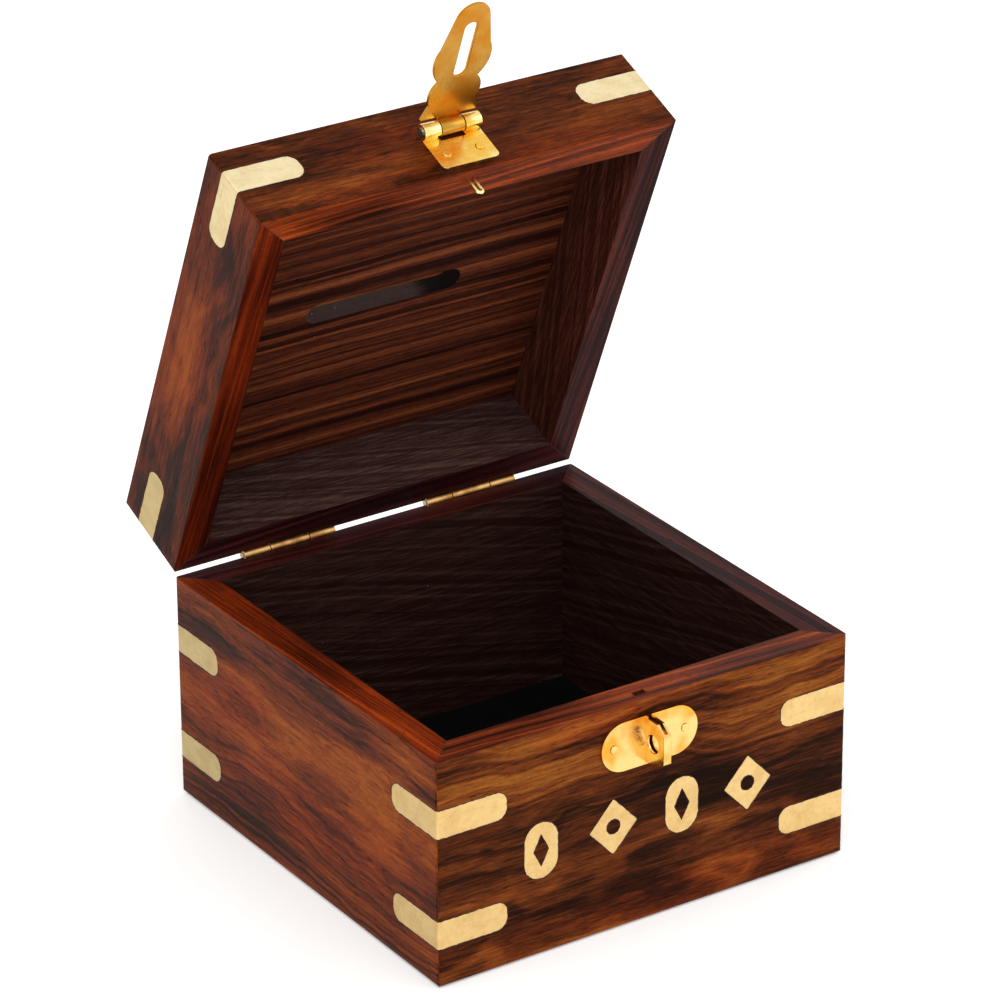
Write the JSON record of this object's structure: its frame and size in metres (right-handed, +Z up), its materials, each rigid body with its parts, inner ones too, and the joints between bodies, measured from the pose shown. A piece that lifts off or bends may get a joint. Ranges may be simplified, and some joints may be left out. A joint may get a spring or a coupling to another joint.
{
  "type": "wooden money box",
  "caption": "Square hardwood money box with a hinged coin-slot lid, flush brass corner straps and inlays, and a folding hasp over a padlock staple.",
  "frame": {"origin": "centre of the underside of the base", "axes": "+X to the right and +Y to the back as the front is faced, +Z up"},
  "size_m": [0.127, 0.1611, 0.2278],
  "materials": {
    "base_long_wood": "polished, warm red-brown with dark streaks, grain along X",
    "base_side_wood": "polished, warm red-brown with dark streaks, grain along Y",
    "floor_wood": "plain, lightly oiled",
    "lid_long_wood": "polished, grain along X",
    "lid_side_wood": "polished, grain from front to back",
    "lid_panel_wood": "striped red-brown and black, grain along X",
    "black_felt": "short black nap",
    "inlay_brass": "pale, ground flush, fine scratches",
    "hasp_brass": "golden, polished sheet",
    "hinge_brass": "golden, slightly dull",
    "nail_brass": "golden, round heads",
    "pin_steel": "dull steel wire"
  },
  "bodies": {
    "base": {"base_back_wall": "base_long_wood", "base_floor": "floor_wood", "base_front_wall": "base_long_wood", "base_left_wall": "base_side_wood", "base_right_wall": "base_side_wood", "base_strap_back_left_lower": "inlay_brass", "base_strap_back_left_upper": "inlay_brass", "base_strap_back_right_lower": "inlay_brass", "base_strap_back_right_upper": "inlay_brass", "base_strap_front_left_lower": "inlay_brass", "base_strap_front_left_upper": "inlay_brass", "base_strap_front_right_lower": "inlay_brass", "base_strap_front_right_upper": "inlay_brass", "floor_felt": "black_felt", "front_ornament_first": "inlay_brass", "front_ornament_fourth": "inlay_brass", "front_ornament_second": "inlay_brass", "front_ornament_third": "inlay_brass", "hasp_staple": "hasp_brass", "hasp_staple_nails": "nail_brass", "hinge_base_nails": "nail_brass", "left_hinge_base_leaf": "hinge_brass", "left_hinge_pin": "pin_steel", "right_hinge_base_leaf": "hinge_brass", "right_hinge_pin": "pin_steel"},
    "lid": {"hasp_pin": "pin_steel", "hasp_plate": "hasp_brass", "hasp_plate_nails": "nail_brass", "hinge_lid_nails": "nail_brass", "left_hinge_lid_leaf": "hinge_brass", "lid_back_wall": "lid_long_wood", "lid_front_wall": "lid_long_wood", "lid_left_wall": "lid_side_wood", "lid_locating_loop": "hasp_brass", "lid_right_wall": "lid_side_wood", "lid_strap_back_left": "inlay_brass", "lid_strap_back_right": "inlay_brass", "lid_strap_front_left": "inlay_brass", "lid_strap_front_right": "inlay_brass", "lid_top_panel": "lid_panel_wood", "right_hinge_lid_leaf": "hinge_brass"},
    "hasp_leaf": {"hasp_leaf": "hasp_brass"}
  },
  "joints": [
    {"name": "lid_hinge", "type": "hinge", "parent": "base", "child": "lid", "pos_m": [0, 0.0643, 0.06465], "axis": [-1, 0, 0], "range_deg": [-67, 113]},
    {"name": "hasp_hinge", "type": "hinge", "parent": "lid", "child": "hasp_leaf", "pos_m": [0.0007, 0.02676, 0.19032], "axis": [-1, 0, 0], "range_deg": [-95.5, 89]}
  ]
}
